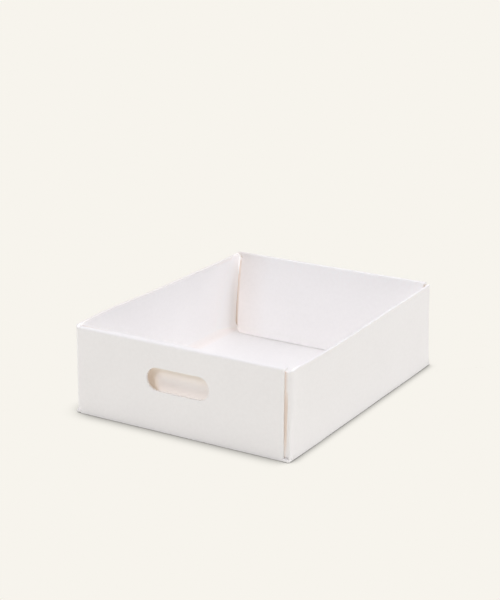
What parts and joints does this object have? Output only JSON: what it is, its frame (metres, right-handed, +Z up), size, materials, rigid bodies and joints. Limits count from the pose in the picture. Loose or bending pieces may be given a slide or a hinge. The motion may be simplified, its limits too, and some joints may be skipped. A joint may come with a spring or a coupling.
{
  "type": "felt storage tray",
  "caption": "Open rectangular storage tray folded from thick pressed felt, with double-layer end walls, single-layer side walls and a rounded hand hole in the front end.",
  "frame": {"origin": "centre of the underside of the floor, which is the plane that the tray stands on", "axes": "+Z up out of the open side, +Y from the end with the hand hole to the plain end (the long way), +X to the right seen from the hand hole end"},
  "size_m": [0.275, 0.34, 0.1],
  "materials": {
    "pressed_felt": "matt off-white pressed felt, fine and smooth"
  },
  "bodies": {
    "tray_base": {"floor_panel": "pressed_felt", "front_outer_wall": "pressed_felt", "back_outer_wall": "pressed_felt"},
    "front_rim": {"front_rim": "pressed_felt"},
    "front_lining": {"front_inner_wall": "pressed_felt"},
    "back_rim": {"back_rim": "pressed_felt"},
    "back_lining": {"back_inner_wall": "pressed_felt"},
    "left_side": {"left_wall": "pressed_felt", "front_left_tuck_flap": "pressed_felt", "back_left_tuck_flap": "pressed_felt"},
    "right_side": {"right_wall": "pressed_felt", "front_right_tuck_flap": "pressed_felt", "back_right_tuck_flap": "pressed_felt"}
  },
  "joints": [
    {"name": "front_rim_fold", "type": "hinge", "parent": "tray_base", "child": "front_rim", "pos_m": [0, -0.17, 0.1], "axis": [1, 0, 0], "range_deg": [0, 90]},
    {"name": "front_inner_wall_fold", "type": "hinge", "parent": "front_rim", "child": "front_lining", "pos_m": [0, -0.1604, 0.1], "axis": [1, 0, 0], "range_deg": [0, 80]},
    {"name": "back_rim_fold", "type": "hinge", "parent": "tray_base", "child": "back_rim", "pos_m": [0, 0.17, 0.1], "axis": [-1, 0, 0], "range_deg": [0, 90]},
    {"name": "back_inner_wall_fold", "type": "hinge", "parent": "back_rim", "child": "back_lining", "pos_m": [0, 0.1604, 0.1], "axis": [-1, 0, 0], "range_deg": [0, 80]},
    {"name": "right_wall_lean", "type": "hinge", "parent": "tray_base", "child": "right_side", "pos_m": [0.135, 0, 0], "axis": [0, 1, 0], "range_deg": [0, 8]},
    {"name": "left_wall_lean", "type": "hinge", "parent": "tray_base", "child": "left_side", "pos_m": [-0.135, 0, 0], "axis": [0, -1, 0], "range_deg": [0, 8]}
  ]
}
